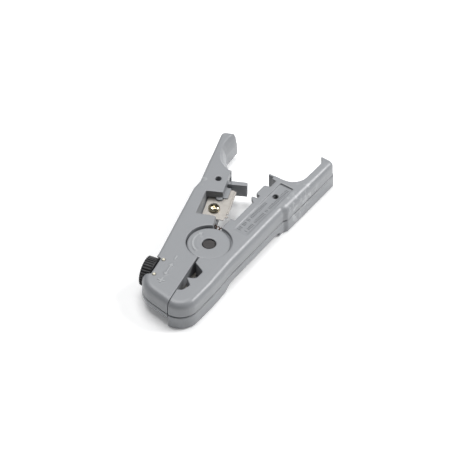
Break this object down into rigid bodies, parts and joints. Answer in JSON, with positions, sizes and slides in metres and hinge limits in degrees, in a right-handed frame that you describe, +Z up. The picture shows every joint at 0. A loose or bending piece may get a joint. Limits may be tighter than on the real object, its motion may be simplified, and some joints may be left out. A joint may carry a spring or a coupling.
{
  "type": "cable stripper and cutter",
  "caption": "Grey plastic pocket cable stripper: two hinged handles, notched stripping jaws with a depth knob, a small toothed cutter plate and a sprung pivot.",
  "frame": {"origin": "on the pivot pin's axis, at the tool's underside", "axes": "+Y runs along the right handle from the nose to the finger rest, +X points to the right handle's outer side, +Z is up through the thickness"},
  "size_m": [0.0557, 0.1246, 0.0174],
  "materials": {
    "grey_abs": "satin moulded ABS",
    "black_plastic": "moulded nylon",
    "ivory_nylon": "moulded nylon",
    "zinc_steel": "zinc plated",
    "blade_steel": "ground",
    "spring_steel": "drawn, oil tempered",
    "nickel_plate": "warm nickel plate",
    "brass": "machined"
  },
  "bodies": {
    "right_handle": {"right_top_shell": "grey_abs", "right_bottom_shell": "grey_abs", "case_screw_front": "zinc_steel", "case_screw_middle": "zinc_steel", "case_screw_rear": "zinc_steel", "pivot_pin": "black_plastic", "pivot_washer": "zinc_steel", "pivot_clip": "zinc_steel", "handle_spring": "spring_steel"},
    "lever": {"lever_top_shell": "grey_abs", "lever_cover": "grey_abs", "cover_screw_front": "zinc_steel", "cover_screw_middle": "zinc_steel", "cover_screw_rear": "zinc_steel", "cutter_blade": "blade_steel", "cutter_screw": "nickel_plate", "threaded_insert": "brass", "knob_pin_front": "ivory_nylon", "knob_pin_rear": "ivory_nylon", "screw_retainer": "zinc_steel"},
    "knob": {"depth_knob": "black_plastic", "adjusting_screw": "zinc_steel"},
    "carriage": {"blade_carriage": "black_plastic", "stripping_blade": "blade_steel", "stripping_blade_screw": "zinc_steel"}
  },
  "joints": [
    {"name": "handle_pivot", "type": "hinge", "parent": "right_handle", "child": "lever", "pos_m": [0, 0, 0.008], "axis": [0, 0, 1], "range_deg": [-20, 0], "stiffness_Nm_per_rad": 0.25, "springref_deg": 5.73, "deforming": ["handle_spring"]},
    {"name": "knob_turn", "type": "hinge", "parent": "lever", "child": "knob", "pos_m": [-0.01595, -0.02835, 0.01], "axis": [0.9848, 0.1736, 0], "range_deg": [-435, 435]},
    {"name": "blade_depth", "type": "slide", "parent": "lever", "child": "carriage", "axis": [0.9848, 0.1736, 0], "range_m": [-0.0006, 0.0006]}
  ],
  "couplings": [
    {"joint": "knob_turn", "follows": "blade_depth", "rad_per_m": 12566}
  ]
}
